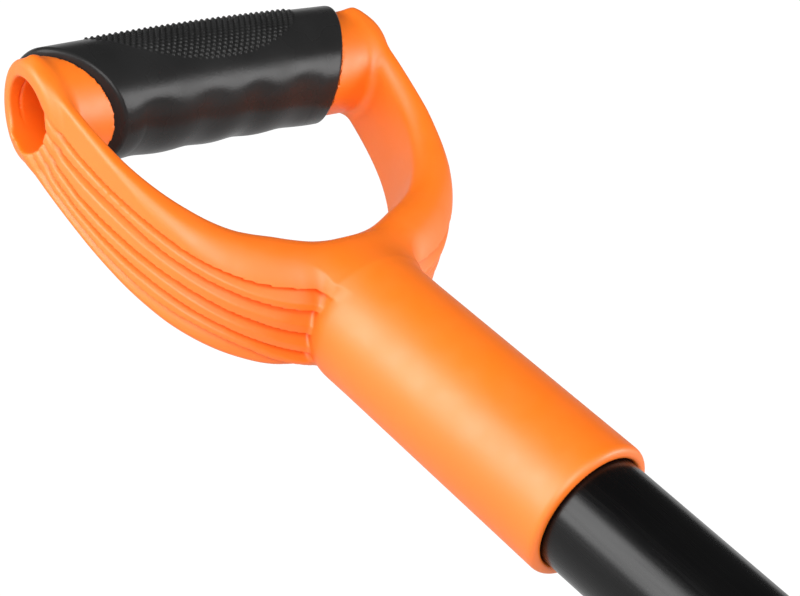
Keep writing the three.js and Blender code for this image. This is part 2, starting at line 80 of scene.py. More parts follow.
# ------------------------------------------------------------ distance fields
def lerp(a, b, t): return a + (b - a) * t
def smin(a, b, k):
    h = np.clip(0.5 + 0.5 * (b - a) / k, 0, 1)
    return b + (a - b) * h - k * h * (1 - h)
def smax(a, b, k): return -smin(-a, -b, k)
def rod(P, axis, r, lo, hi, c=(0, 0, 0), e=0.5):
    """A cylinder along an axis with rounded rims."""
    i = "xyz".index(axis)
    j, k = [n for n in range(3) if n != i]
    d = np.hypot(P[j] - c[j], P[k] - c[k]) - r
    a = np.abs(P[i] - c[i] - (lo + hi) / 2) - (hi - lo) / 2
    return np.minimum(np.maximum(d + e, a + e), 0) + np.hypot(np.maximum(d + e, 0), np.maximum(a + e, 0)) - e
def box(P, x0, x1, y0, y1, z0, z1, e=0.5):
    q = [np.abs(P[i] - (a + b) / 2) - (b - a) / 2 + e for i, (a, b) in enumerate(((x0, x1), (y0, y1), (z0, z1)))]
    return np.minimum(np.maximum(np.maximum(q[0], q[1]), q[2]), 0) + \
        np.sqrt(sum(np.maximum(v, 0) ** 2 for v in q)) - e

def nets(f, lo, hi, h, refine=3, mirror=False):
    """Closed surface of f < 0 inside the box, on a grid of step h, with its points pulled onto f = 0."""
    ax = [np.arange(lo[i] - 2 * h, hi[i] + 3 * h, h) for i in range(3)]
    if mirror:                           # the shape is the same on both sides of x = 0
        half = (np.arange(int(hi[0] / h) + 3) * h).astype(np.float32)
        X, Y, Z = np.meshgrid(half, ax[1].astype(np.float32), ax[2].astype(np.float32), indexing="ij", sparse=True)
        F = np.broadcast_to(f((X, Y, Z)), (len(half), len(ax[1]), len(ax[2]))).astype(np.float32)
        F = np.concatenate([F[:0:-1], F])
        ax[0] = np.concatenate([-half[:0:-1], half]).astype(float)
    else:
        X, Y, Z = np.meshgrid(*ax, indexing="ij", sparse=True)
        F = np.broadcast_to(f((X, Y, Z)), tuple(len(a) for a in ax)).astype(np.float32)
    F = np.where(F == 0, 1e-6, F)
    S = F < 0
    shape = tuple(n - 1 for n in F.shape)
    acc, cnt = np.zeros(shape + (3,), np.float32), np.zeros(shape, np.int16)
    cross = []
    for a in range(3):
        s0 = [slice(None)] * 3; s1 = [slice(None)] * 3
        s0[a], s1[a] = slice(0, -1), slice(1, None)
        c = S[tuple(s0)] != S[tuple(s1)]
        t = np.zeros(c.shape, np.float32)
        A, B = F[tuple(s0)][c], F[tuple(s1)][c]
        t[c] = A / (A - B)
        cross.append(c)
        o = [b for b in range(3) if b != a]
        for u in (0, 1):
            for v in (0, 1):
                sl = [slice(None)] * 3
                sl[o[0]] = slice(u, shape[o[0]] + u)
                sl[o[1]] = slice(v, shape[o[1]] + v)
                cc, tt = c[tuple(sl)], t[tuple(sl)]
                acc[..., a] += tt
                acc[..., o[0]] += cc * u
                acc[..., o[1]] += cc * v
                cnt += cc
    used = cnt > 0
    idx = np.full(shape, -1, np.int64)
    idx[used] = np.arange(used.sum())
    base = np.argwhere(used)
    V = (base + acc[used] / cnt[used][:, None]) * h + np.array([a[0] for a in ax])
    Q = []
    for a in range(3):
        o = [(a + 1) % 3, (a + 2) % 3]
        e = np.argwhere(cross[a])
        e = e[(e[:, o[0]] > 0) & (e[:, o[1]] > 0) & (e[:, o[0]] < shape[o[0]]) & (e[:, o[1]] < shape[o[1]])]
        inside = S[tuple(e.T)]
        q = []
        for du, dv in ((1, 1), (0, 1), (0, 0), (1, 0)):
            g = e.copy(); g[:, o[0]] -= du; g[:, o[1]] -= dv
            q.append(idx[tuple(g.T)])
        q = np.array(q).T
        q[~inside] = q[~inside][:, ::-1]
        Q.append(q)
    Q = np.concatenate(Q)
    for _ in range(refine):
        P = V.T
        d = f((P[0], P[1], P[2])); eps = 0.05
        G = np.array([f(tuple(P[j] + (eps if j == i else 0) for j in range(3))) - d for i in range(3)]) / eps
        n2 = np.maximum((G ** 2).sum(0), 0.2)
        V = V - np.clip(d / n2, -0.35 * h, 0.35 * h)[:, None] * G.T
    return V, Q

def make(name, V, F, smooth=40):
    me = bpy.data.meshes.new(name)
    me.from_pydata((np.asarray(V) / 1000.0).tolist(), [], [list(map(int, q)) for q in F])
    me.validate()
    me.shade_smooth()
    if smooth:
        me.set_sharp_from_angle(angle=math.radians(smooth))
    o = bpy.data.objects.new(name, me)
    bpy.context.scene.collection.objects.link(o)
    return o

def lathe(pts, n=128, axis="y", c=(0, 0, 0)):
    """A closed ring profile of (radius, distance along the axis) turned about the axis."""
    pts = np.array(pts, float)
    th = np.linspace(0, 2 * math.pi, n, endpoint=False)
    R, A = pts[:, 0][:, None], np.repeat(pts[:, 1][:, None], n, 1)
    a, b = R * np.cos(th), R * np.sin(th)
    V = {"x": (A, a, b), "y": (b, A, a), "z": (a, b, A)}[axis]
    V = np.stack(V, -1).reshape(-1, 3) + np.array(c, float)
    m = len(pts)
    i, j = np.meshgrid(np.arange(m), np.arange(n), indexing="ij")
    i2, j2 = (i + 1) % m, (j + 1) % n
    F = np.stack([i * n + j, i2 * n + j, i2 * n + j2, i * n + j2], -1).reshape(-1, 4)
    return V, F
def rounded(pts, r, n=4):
    """Rounds the corners of a closed profile."""
    out, m = [], len(pts)
    for i in range(m):
        a, b, c = (np.array(pts[(i + d) % m], float) for d in (-1, 0, 1))
        u, v = a - b, c - b
        lu, lv = np.linalg.norm(u), np.linalg.norm(v)
        k = min(r, lu * 0.45, lv * 0.45)
        p, q = b + u / lu * k, b + v / lv * k
        for t in np.linspace(0, 1, n + 1):
            out.append(((1 - t) ** 2) * p + 2 * t * (1 - t) * b + t * t * q)
    return out
def outward(o):
    import bmesh
    bm = bmesh.new(); bm.from_mesh(o.data)
    bmesh.ops.recalc_face_normals(bm, faces=bm.faces)
    bm.to_mesh(o.data); bm.free()
    return o
def cutout(o, *cutters):
    """Takes cutters away from o for good."""
    for c in cutters:
        m = o.modifiers.new("cut", "BOOLEAN")
        m.operation, m.solver, m.object = "DIFFERENCE", "EXACT", c
        dg = bpy.context.evaluated_depsgraph_get()
        me = bpy.data.meshes.new_from_object(o.evaluated_get(dg))
        o.modifiers.clear()
        old = o.data
        o.data = me
        bpy.data.meshes.remove(old)
        bpy.data.objects.remove(c, do_unlink=True)
    me = o.data
    me.shade_smooth(); me.set_sharp_from_angle(angle=math.radians(32))
    return o

# ------------------------------------------------------------------ materials
def material(name, color, rough, metal=0.0):
    m = bpy.data.materials.new(name)
    m.use_nodes = True
    b = m.node_tree.nodes["Principled BSDF"]
    b.inputs["Base Color"].default_value = (*color, 1)
    b.inputs["Roughness"].default_value = rough
    b.inputs["Metallic"].default_value = metal
    return m, m.node_tree, b
def node(nt, kind, **values):
    n = nt.nodes.new(kind)
    for k, v in values.items():
        if k in n.inputs: n.inputs[k].default_value = v
        else: setattr(n, k, v)
    return n
def object_co(nt, scale=(1, 1, 1)):
    t = nt.nodes.new("ShaderNodeTexCoord")
    m = node(nt, "ShaderNodeMapping"); m.inputs["Scale"].default_value = scale
    nt.links.new(t.outputs["Object"], m.inputs["Vector"])
    return m.outputs["Vector"]
def noise(nt, co, scale, detail=3.0, rough=0.5):
    n = node(nt, "ShaderNodeTexNoise", Scale=scale, Detail=detail, Roughness=rough)
    nt.links.new(co, n.inputs["Vector"])
    return n.outputs["Fac"]
def ranged(nt, value, a, b, c, d):
    n = node(nt, "ShaderNodeMapRange")
    for k, v in zip(("From Min", "From Max", "To Min", "To Max"), (a, b, c, d)): n.inputs[k].default_value = v
    nt.links.new(value, n.inputs["Value"])
    return n.outputs["Result"]
def mixed(nt, fac, c1, c2):
    n = nt.nodes.new("ShaderNodeMix"); n.data_type = "RGBA"
    n.inputs["A"].default_value, n.inputs["B"].default_value = (*c1, 1), (*c2, 1)
    nt.links.new(fac, n.inputs["Factor"])
    return n.outputs["Result"]
def bump(nt, b, height, strength, distance):
    n = node(nt, "ShaderNodeBump", Strength=strength, Distance=distance)
    nt.links.new(height, n.inputs["Height"])
    nt.links.new(n.outputs["Normal"], b.inputs["Normal"])
def added(nt, a, b, wb):
    n = nt.nodes.new("ShaderNodeMath"); n.operation = "MULTIPLY_ADD"
    nt.links.new(b, n.inputs[0]); n.inputs[1].default_value = wb
    nt.links.new(a, n.inputs[2])
    return n.outputs[0]

def orange_plastic():
    m, nt, b = material("orange_plastic", (0.95, 0.175, 0.001), 0.42)
    co = object_co(nt)
    n = noise(nt, co, 18, 2)
    nt.links.new(mixed(nt, ranged(nt, n, .35, .65, 0, 1), (0.97, 0.184, 0.0012), (0.96, 0.173, 0.0008)), b.inputs["Base Color"])
    nt.links.new(ranged(nt, noise(nt, co, 140, 3), .3, .7, .47, .55), b.inputs["Roughness"])
    bump(nt, b, noise(nt, co, 2600, 2), 0.10, 0.00008)
    b.inputs["Specular IOR Level"].default_value = 1.0
    b.inputs["Subsurface Weight"].default_value = 0.06
    b.inputs["Subsurface Radius"].default_value = (1.0, 0.25, 0.05)
    b.inputs["Subsurface Scale"].default_value = 0.002
    return m
def rubber():
    m, nt, b = material("rubber", (0.03, 0.03, 0.03), 0.5)
    co = object_co(nt)
    n = noise(nt, co, 45, 3)
    nt.links.new(mixed(nt, ranged(nt, n, .3, .7, 0, 1), (0.015, 0.015, 0.015), (0.021, 0.021, 0.021)), b.inputs["Base Color"])
    nt.links.new(ranged(nt, noise(nt, co, 70, 3), .3, .7, .22, .34), b.inputs["Roughness"])
    bump(nt, b, added(nt, noise(nt, co, 1800, 2), noise(nt, co, 160, 2), 2.0), 0.22, 0.00012)
    b.inputs["Specular IOR Level"].default_value = 0.18
    return m
def black_tube():
    m, nt, b = material("black_tube", (0.011, 0.011, 0.012), 0.3)
    co = object_co(nt, (1, 0.05, 1))
    nt.links.new(ranged(nt, noise(nt, co, 900, 2), .3, .7, .22, .30), b.inputs["Roughness"])
    bump(nt, b, noise(nt, co, 1500, 2), 0.03, 0.00004)
    n = noise(nt, object_co(nt), 30, 3)
    nt.links.new(mixed(nt, ranged(nt, n, .35, .7, 0, 1), (0.0018, 0.0018, 0.0019), (0.0032, 0.0032, 0.0033)), b.inputs["Base Color"])
    b.inputs["Specular IOR Level"].default_value = 0.34
    return m
def black_plastic():
    m, nt, b = material("black_plastic", (0.02, 0.02, 0.021), 0.55)
    co = object_co(nt)
    nt.links.new(mixed(nt, noise(nt, co, 60, 3), (0.015, 0.015, 0.016), (0.027, 0.027, 0.028)), b.inputs["Base Color"])
    nt.links.new(ranged(nt, noise(nt, co, 300, 3), .3, .7, .48, .62), b.inputs["Roughness"])
    bump(nt, b, noise(nt, co, 2200, 2), 0.3, 0.0001)
    return m
def steel():
    m, nt, b = material("steel", (0.55, 0.55, 0.56), 0.32, 1.0)
    co = object_co(nt)
    nt.links.new(mixed(nt, noise(nt, co, 260, 4), (0.50, 0.50, 0.51), (0.62, 0.62, 0.63)), b.inputs["Base Color"])
    nt.links.new(ranged(nt, noise(nt, co, 900, 3), .3, .7, .24, .42), b.inputs["Roughness"])
    bump(nt, b, noise(nt, co, 1600, 2), 0.08, 0.00006)
    return m
def alloy(name, brushed):
    m, nt, b = material(name, (0.5, 0.51, 0.53), 0.36, 1.0)
    co = object_co(nt, (1, 0.02, 1) if brushed == "y" else (0.02, 1, 1))
    s = noise(nt, co, 1600, 3, .7)
    blotch = noise(nt, object_co(nt), 22, 3)
    nt.links.new(mixed(nt, ranged(nt, blotch, .3, .7, 0, 1), (0.36, 0.37, 0.39), (0.45, 0.46, 0.48)), b.inputs["Base Color"])
    nt.links.new(ranged(nt, added(nt, blotch, s, 0.8), .5, 1.3, .42, .56), b.inputs["Roughness"])
    bump(nt, b, s, 0.14, 0.00005)
    b.inputs["Anisotropic"].default_value = 0.4
    return m
MAT = {"orange_plastic": orange_plastic(), "rubber": rubber(), "black_tube": black_tube(), "black_plastic": black_plastic(),
       "steel": steel(), "alloy": alloy("alloy", "y"), "blade_alloy": alloy("blade_alloy", "y")}
def finish_piece(o, body, slot, *nodes):
    o.data.materials.clear(); o.data.materials.append(MAT[slot])
    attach(o, body)
    if nodes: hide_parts(*nodes)
    return o

# ---------------------------------------------------------------- D-grip yoke
def slant_x(y):
    """Where the sleeve ends: nearer the middle on the fingers' side, level with the boss on the palm's."""
    return 51.9 - 0.55 * (np.sqrt((y - 8.4) ** 2 + 4.0) - (y - 8.4)) / 2
def catmull(pts, n):
    p = np.array(pts, float)
    p = np.vstack([2 * p[0] - p[1], p, 2 * p[-1] - p[-2]])
    out = []
    for i in range(1, len(p) - 2):
        for t in np.linspace(0, 1, n, endpoint=False):
            a, b, c, d = p[i - 1:i + 3]
            out.append(0.5 * ((2 * b) + (-a + c) * t + (2 * a - 5 * b + 4 * c - d) * t * t + (-a + 3 * b - 3 * c + d) * t ** 3))
    out.append(p[-2])
    return np.array(out)
OUT = catmull([(53.6, 20), (55.0, 14), (56.6, 8), (58.1, 1.2), (58.8, -5.6), (58.5, -12.4), (57.9, -19.2), (57.1, -25.9), (56.1, -32.7), (54.7, -39.4), (52.9, -46.0), (50.4, -52.4), (47.2, -58.3), (43.0, -63.7), (38.0, -68.5), (32.4, -72.4), (26.3, -75.6), (19.9, -77.8), (13.3, -79.4), (6.6, -80.6), (0.0, -81.0)], 6)
INN = catmull([(51.4, 20), (52.4, 14), (53.2, 8.0), (53.4, 2.3), (53.5, -3.4), (53.4, -9.1), (53.0, -14.8), (52.3, -20.5), (51.2, -26.1), (49.6, -31.6), (47.4, -36.8), (44.6, -41.8), (41.2, -46.4), (37.2, -50.6), (32.6, -54.0), (27.5, -56.4), (22.1, -58.4), (16.8, -60.5), (11.3, -62.2), (5.7, -63.0), (0.0, -63.1)], 6)
def near(pts, x, y):
    """Signed distance to a line of points, positive on its left-hand side, and how far along it, 0 to 1."""
    shape = np.broadcast(x, y).shape
    q = np.stack([np.broadcast_to(x, shape).ravel(), np.broadcast_to(y, shape).ravel()], -1).astype(np.float64)
    a, b = pts[:-1], pts[1:]
    ab = b - a
    L2 = (ab ** 2).sum(-1)
    cum = np.r_[0, np.cumsum(np.sqrt(L2))]
    D, U = np.empty(len(q)), np.empty(len(q))
    for s in range(0, len(q), 20000):
        v = q[s:s + 20000, None] - a
        t = np.clip((v * ab).sum(-1) / L2, 0, 1)
        w = v - t[..., None] * ab
        d2 = (w ** 2).sum(-1)
        j = d2.argmin(1); i = np.arange(len(j))
        cr = ab[j, 0] * w[i, j, 1] - ab[j, 1] * w[i, j, 0]
        D[s:s + 20000] = np.sqrt(d2[i, j]) * np.where(cr > 0, 1, -1)
        U[s:s + 20000] = (cum[j] + t[i, j] * np.sqrt(L2[j])) / cum[-1]
    return D.reshape(shape), U.reshape(shape)
# grooves on the outer face: height above the arm's middle, against the way from the boss (0) to the collar (1)
GROOVES = (((.10, 7.4), (.13, 6.9), (.18, 5.8), (.24, 5.9), (.32, 6.7), (.39, 7.6), (.46, 8.5), (.52, 8.9), (.58, 9.1), (.69, 9.3), (.84, 10.0)),
           ((.10, 3.6), (.15, 2.7), (.21, 1.7), (.27, 2.3), (.35, 3.6), (.42, 4.3), (.49, 4.6), (.55, 5.0), (.66, 5.2), (.77, 4.9), (.86, 4.8)),
           ((.10, -.6), (.16, -1.4), (.20, -2.6), (.27, -3.0), (.34, -2.2), (.41, -1.3), (.48, -.5), (.54, 0), (.60, 0), (.71, -.6), (.86, -2.3)),
           ((.10, -3.7), (.15, -4.6), (.20, -6.1), (.27, -6.5), (.35, -6.0), (.43, -5.3), (.49, -4.8), (.55, -4.7), (.67, -5.2), (.78, -6.7), (.88, -8.5)),
           ((.10, -6.6), (.14, -7.6), (.20, -9.3), (.30, -9.5), (.36, -9.5), (.44, -9.2), (.50, -8.9), (.56, -8.6), (.62, -8.4), (.68, -8.7), (.73, -9.3), (.80, -11.0), (.88, -13.0)))
def corner(a, b, r):
    """The rounded outside corner of two faces."""
    return np.minimum(np.maximum(a + r, b + r), 0) + np.hypot(np.maximum(a + r, 0), np.maximum(b + r, 0)) - r
tx_, ty_ = np.arange(-0.5, 66, .25), np.arange(-100, 22, .25)
U_START = float(near(OUT, np.array([56.6]), np.array([8.0]))[1][0])
TAB = np.array([near(OUT, tx_[:, None], ty_[None])[0], -near(INN, tx_[:, None], ty_[None])[0],
                np.clip((near(OUT, tx_[:, None], ty_[None])[1] - U_START) / (1 - U_START), 0, 1)]).astype(np.float32)
def table(x, y):
    fx = np.clip((x - tx_[0]) / .25, 0, len(tx_) - 1.001); fy = np.clip((y - ty_[0]) / .25, 0, len(ty_) - 1.001)
    i, j = fx.astype(int), fy.astype(int)
    a, b = fx - i, fy - j
    return [t[i, j] * (1 - a) * (1 - b) + t[i + 1, j] * a * (1 - b) + t[i, j + 1] * (1 - a) * b + t[i + 1, j + 1] * a * b for t in TAB]
def yoke(P):
    x, y, z = P[0], P[1] - Y0, P[2] - AZ
    ax = np.abs(x)
    do, di, u = table(*np.broadcast_arrays(ax, y))
    zc = 23.36 + 0.31 * np.minimum(y, 2.0)
    zc = np.maximum(zc, -1.0) + 0 * ax
    hh = 11.87 * (1 - u) * (1 - 2 * u) + 4 * 13.91 * u * (1 - u) + 14.31 * u * (2 * u - 1) + .35
    v = z - zc
    thick = np.interp(u, (0, .3, .5, .7, 1), (5.6, 6.6, 10, 15, 18))
    r_top = np.interp(u, (0, .2, .35, .5, .65, 1), (1.2, 1.3, 1.8, 4.0, 8.0, 12))
    r_low = np.interp(u, (0, .5, 1), (2.2, 4.45, 4.45))
    fade = np.clip((u - .055) / .06, 0, 1) * np.clip((.89 - u) / .02, 0, 1)
    open_ = np.interp(u, (.1, .3, .6, .85), (.32, .36, .44, .54))      # share of the pitch that the slot takes
    cut = 0.0 * v
    lines = [np.interp(u, *zip(*g)) for g in GROOVES] + [-hh - 1.0]
    for a, b, deep in zip(lines[:-1], lines[1:], (3.2, 3.2, 3.2, 2.8, 1.4)):
        w = np.maximum(a - b, 0.6)
        t = (a - v) / (w * open_)                # 0 at the line, 1 at the slot's lower edge
        wall = np.clip((a - v + 0.25) / 0.7, 0, 1)
        prof = wall * np.clip(1.15 - t, 0, 1) + 0.10 * wall * np.clip(1 - (a - v) / w, 0, 1)
        cut = np.maximum(cut, prof * np.minimum(deep, w * 0.72) * np.interp(u, (.1, .35), (.62, 1)))
    outer = do + cut * fade
    top = v - hh
    arms = np.maximum(corner(outer, top, r_top), corner(outer, -v - hh, r_low))
    # the inner face rolls over into the top
    ea, eb = np.minimum(thick * .66, 9.0), np.interp(u, (0, .4, .7), (6.0, 6.5, 8.0))
    p, q = np.maximum(di + ea, 0) / ea, np.maximum(top + eb, 0) / eb
    roll = np.where((p > 0) & (q > 0), (np.sqrt(p * p + q * q) - 1) * np.minimum(ea, eb), np.maximum(di, top))
    arms = smax(arms, roll, .5)
    arms = smax(arms, corner(di, -v - hh, 2.0), .5)
    arms = smax(arms, y - 5.0, 2.0)
    rb = np.hypot(y, z - 21.1)
    slant = (slant_x(y) + .3 - ax) * .88      # positive under the sleeve
    boss = corner(rb - BOSS_R, do - 0.15 * (z - 21.1), 1.7)
    body = smin(arms, boss, 3.0)
    body = np.maximum(body, -np.maximum(-slant, rb - 17.4))
    boss = smax(boss, slant, .4)
    body = np.minimum(body, boss)
    bar = corner(rb - BAR_R, ax - 52, .5)
    body = np.minimum(body, bar)
    # collar with a domed top, slightly conical, with a rounded lip
    r = np.hypot(x, z)
    rc = lerp(RT, RM, np.clip((y + 92) / (COLLAR_MOUTH + 92), 0, 1))
    ytop, re = COLLAR_TOP, 13.0
    dr, da = r - rc, y - ytop
    tube = np.minimum(np.maximum(dr + re, da + re), 0) + np.hypot(np.maximum(dr + re, 0), np.maximum(da + re, 0)) - re
    tube = smax(tube, COLLAR_MOUTH - y, 2.4)
    side = np.clip((y + 92) / 12, 0, 1) * np.clip((v - 5) / 9, 0, 1) ** 1.5
    body = smin(body, tube, 1.4 + 11.0 * side)
    body = smax(body, -(rb - HOLE_R), 1.0)
    body = smax(body, -np.maximum(r - (UPPER_R + GAP), y - (UPPER_TOP + 1)), 0.9)
    scr = np.hypot(x, y + 112)
    body = np.maximum(body, -np.maximum(scr - 4.6, z + AZ - 2.6))
    body = np.maximum(body, -np.maximum(scr - 2.4, z + AZ - 6))
    return body
step = 0.5
V, F = nets(yoke, (-61, Y0 + COLLAR_MOUTH - 1, 0), (61, Y0 + 17, 57), step, mirror=True)
print("yoke", len(V))
finish_piece(make("d_grip_yoke", V, F, 50), "handle", "orange_plastic", "d_grip")

# --------------------------------------------------------------- rubber sleeve
def sleeve():
    q = 1.5
    nx, nt = ((340, 420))
    s = np.linspace(-1, 1, nx)
    s = np.sign(s) * (1 - (1 - np.abs(s)) ** 1.12)
    th = np.linspace(0, 2 * math.pi, nt, endpoint=False)      # 0 is +Y, 90 degrees is +Z
    S, TH = np.meshgrid(s, th, indexing="ij")
    h = slant_x(SLEEVE_R * np.cos(TH))              # both ends lean the same way, longer at the palm
    X = S * h
    e = np.clip((np.abs(X) - (h - q)) / q, 0, 1)
    end = q * (1 - np.sqrt(np.maximum(0, 1 - e ** 2)))
    bow = np.cos(X / 50 * math.pi / 2)
    palm = 0.5 + 0.5 * np.cos(TH - math.radians(58))
    R = SLEEVE_R + bow * (0.75 * palm ** 1.5) - 0.45 * (1 - palm) + 0 * X
    # shallow scoops for the fingers, round the side towards the shaft
    ease = lambda t: np.clip(t, 0, 1) ** 2 * (3 - 2 * np.clip(t, 0, 1))
    scoop = sum(a * np.exp(-((X - x0) / w) ** 2) for x0, w, a in ((-27, 6.0, 1.0), (-8, 5.5, .9), (8.5, 5.5, 1.0), (26, 6.0, .85)))
    span = ease((TH - math.radians(138)) / math.radians(26)) * ease((math.radians(285) - TH) / math.radians(40))
    R -= (0.62 * scoop + 0.08) * span * np.clip((h - 3 - np.abs(X)) / 5, 0, 1)
    # palm patch with rows of small studs
    d = np.abs((TH - math.radians(58) + math.pi) % (2 * math.pi) - math.pi)
    lim = math.radians(63) * np.sqrt(np.maximum(0, 1 - (X / 35) ** 2))
    inside = np.clip((lim - d) * 16 / 0.8, 0, 1)
    a, b = (X + TH * 17.0 * 0.8) / 2.0, (X - TH * 17.0 * 0.8) / 2.0
    tri = lambda t: np.abs((t % 1) - 0.5) * 2
    dia = np.minimum(tri(a), tri(b))
    R += inside * (0.62 * np.clip(dia * 1.7 - .2, 0, 1) - 0.12)
    R -= end
    V = [np.stack([X, Y0 + R * np.cos(TH), BAR_Z + R * np.sin(TH)], -1).reshape(-1, 3)]
    ri = BAR_R + GAP
    for k in (1, -1):
        V.append(np.stack([k * slant_x(ri * np.cos(th)), Y0 + ri * np.cos(th), BAR_Z + ri * np.sin(th)], -1))
    V = np.concatenate(V)
    n = nx + 2
    i, j = np.meshgrid(np.arange(n), np.arange(nt), indexing="ij")
    i2, j2 = (i + 1) % n, (j + 1) % nt
    F = np.stack([i * nt + j, i * nt + j2, i2 * nt + j2, i2 * nt + j], -1).reshape(-1, 4)
    return V, F
o = outward(make("rubber_sleeve", *sleeve(), 60))
finish_piece(o, "handle", "rubber", "grip_sleeve")

# ----------------------------------------------------------------------- tubes
def tube(name, ro, ri, y0, y1, e=0.35):
    prof = rounded([(ri, y0), (ro, y0), (ro, y1), (ri, y1)], e)
    return outward(make(name, *lathe([(r, y + Y0) for r, y in prof], 144, "y", (0, 0, AZ)), 35))
def cutter(f, lo, hi, h=0.4):
    return make("cutter", *nets(f, lo, hi, h), 0)
o = tube("upper_tube", UPPER_R, UPPER_R - UPPER_WALL, UPPER_END, UPPER_TOP)
ys = UPPER_END + 34 + Y0
slot = lambda P: np.minimum(box(P, UPPER_R - 4, UPPER_R + 3, UPPER_END - 4 + Y0, ys - 1, AZ - 1, AZ + 1, .05), rod(P, "x", 1.0, UPPER_R - 4, UPPER_R + 3, (0, ys - 1, AZ), .05))
c1 = cutter(slot, (11, UPPER_END - 5 + Y0, AZ - 2), (20, ys + 1, AZ + 2), 0.35)
c2 = cutter(lambda P: rod(P, "z", 2.4, -1, 8, (0, -112 + Y0, 0), .05), (-3, -115 + Y0, -2), (3, -109 + Y0, 9), 0.35)
finish_piece(cutout(o, c1, c2), "handle", "black_tube", "upper_shaft")
o = tube("lower_tube", LOWER_R, LOWER_R - LOWER_WALL, LOWER_END, LOWER_TOP)
c1 = cutter(lambda P: rod(P, "z", BUTTON_R + GAP, AZ + 8, AZ + 18, (0, BUTTON_Y + Y0, 0), .05), (-5, BUTTON_Y + Y0 - 5, AZ + 7), (5, BUTTON_Y + Y0 + 5, AZ + 19), 0.35)
finish_piece(cutout(o, c1), "blade_and_lower_shaft", "black_tube", "lower_shaft")

LOWER = "blade_and_lower_shaft"
ro, yb = UPPER_R - UPPER_WALL - 0.2, UPPER_END + GAP
prof = rounded([(LOWER_R + GAP, yb), (ro, yb), (ro, LOWER_TOP + 4), (ro - 1, LOWER_TOP + 5), (10.4, LOWER_TOP + 5), (10.4, LOWER_TOP - 14),
                (LOWER_R - LOWER_WALL - GAP, LOWER_TOP - 14), (LOWER_R - LOWER_WALL - GAP, LOWER_TOP + GAP), (LOWER_R + GAP, LOWER_TOP + GAP)], 0.25, 2)
o = outward(make("shaft_bush", *lathe([(r, y + Y0) for r, y in prof], 96, "y", (0, 0, AZ)), 35))
finish_piece(o, LOWER, "black_plastic", "guide_bush")
def plug(P):
    a = rod(P, "y", LOWER_R - LOWER_WALL - GAP, LOWER_END - 1 + Y0, LOWER_END + 14 + Y0, (0, 0, AZ), .6)
    b = rod(P, "y", LOWER_R, LOWER_END - 2.5 + Y0, LOWER_END - GAP + Y0, (0, 0, AZ), .8)
    c = rod(P, "y", 7, LOWER_END - 4 + Y0, LOWER_END - 1.4 + Y0, (0, 0, AZ), .4)
    return np.maximum(np.minimum(a, b), -c)
finish_piece(make("end_plug", *nets(plug, (-14, LOWER_END - 3 + Y0, AZ - 14), (14, LOWER_END + 15 + Y0, AZ + 14), .5), 40), LOWER, "black_plastic", "shaft_plug")

# ----------------------------------------------------------------------- clamp
def ring(P):
    x, y, z = P
    r = np.hypot(x, z - AZ)
    b = rod(P, "y", 19.3, EAR_Y, CLAMP_Y1, (0, 0, AZ), 1.0)
    ears = box(P, 14.5, EAR_X + 5.5, EAR_Y, CLAMP_Y1, EAR_LO, EAR_HI, 1.6)
    b = smin(b, ears, 1.6)
    # shallow grooves round the ring
    for k in (-6.5, 0, 6.5):
        b = np.maximum(b, -(np.hypot(r - 19.6, y - BOLT_Y - k) - 0.9))
    b = smax(b, -rod(P, "y", UPPER_R + GAP, EAR_Y + 3 - GAP, CLAMP_Y1 + 5, (0, 0, AZ), .05), .3)
    b = smax(b, -rod(P, "y", LOWER_R + GAP, EAR_Y - 5, EAR_Y + 5, (0, 0, AZ), .05), .3)
    b = smax(b, -box(P, 12, EAR_X + 8, EAR_Y - 2, CLAMP_Y1 + 2, AZ - 1.2, AZ + 1.2, .05), .3)
    return smax(b, -rod(P, "z", 2.8, EAR_LO - 4, EAR_HI + 4, (EAR_X, BOLT_Y, 0), .05), .3)
fine = 0.42
finish_piece(make("clamp_body", *nets(ring, (-20, EAR_Y, 0), (32, CLAMP_Y1, AZ + 20), fine), 40), "handle", "black_plastic", "clamp_ring")
def bolt(P):
    a = rod(P, "z", 2.4, EAR_LO - 8.4, PIN_Z - 2, (EAR_X, BOLT_Y, 0), .4)
    zz = P[2] - (EAR_LO - 8.4)
    a = a + 0.12 * np.clip(1 - zz / 9, 0, 1) ** .2 * (np.cos(zz / 0.8 * 2 * math.pi) * (zz < 9))
    b = rod(P, "y", 4.4, BOLT_Y - 2.6, BOLT_Y + 2.6, (EAR_X, 0, PIN_Z), .5)
    return smax(smin(a, b, 1.0), -rod(P, "y", 2.4, BOLT_Y - 6, BOLT_Y + 6, (EAR_X, 0, PIN_Z), .05), .2)
finish_piece(make("clamp_eye_bolt", *nets(bolt, (EAR_X - 5, BOLT_Y - 3, 3), (EAR_X + 5, BOLT_Y + 3, PIN_Z + 5), .3), 40), "handle", "steel", "clamp_bolt")
def nut(P):
    b = rod(P, "z", 6.0, EAR_LO - 6.3, EAR_LO - GAP, (EAR_X, BOLT_Y, 0), .7)
    for i in range(8):
        a = i * math.pi / 4
        b = smax(b, -rod(P, "z", 1.2, EAR_LO - 9, EAR_LO + 3, (EAR_X + 6.4 * math.cos(a), BOLT_Y + 6.4 * math.sin(a), 0), .05), .4)
    return smax(b, -rod(P, "z", 2.7, EAR_LO - 9, EAR_LO + 3, (EAR_X, BOLT_Y, 0), .05), .5)
finish_piece(make("thumb_nut_piece", *nets(nut, (EAR_X - 7, BOLT_Y - 7, EAR_LO - 7), (EAR_X + 7, BOLT_Y + 7, EAR_LO), .3), 40), "thumb_nut", "steel", "clamp_nut")
pin = lambda P: rod(P, "y", 2.1, BOLT_Y - LEVER_W / 2 + 1, BOLT_Y + LEVER_W / 2 - 1, (EAR_X, 0, PIN_Z), .35)
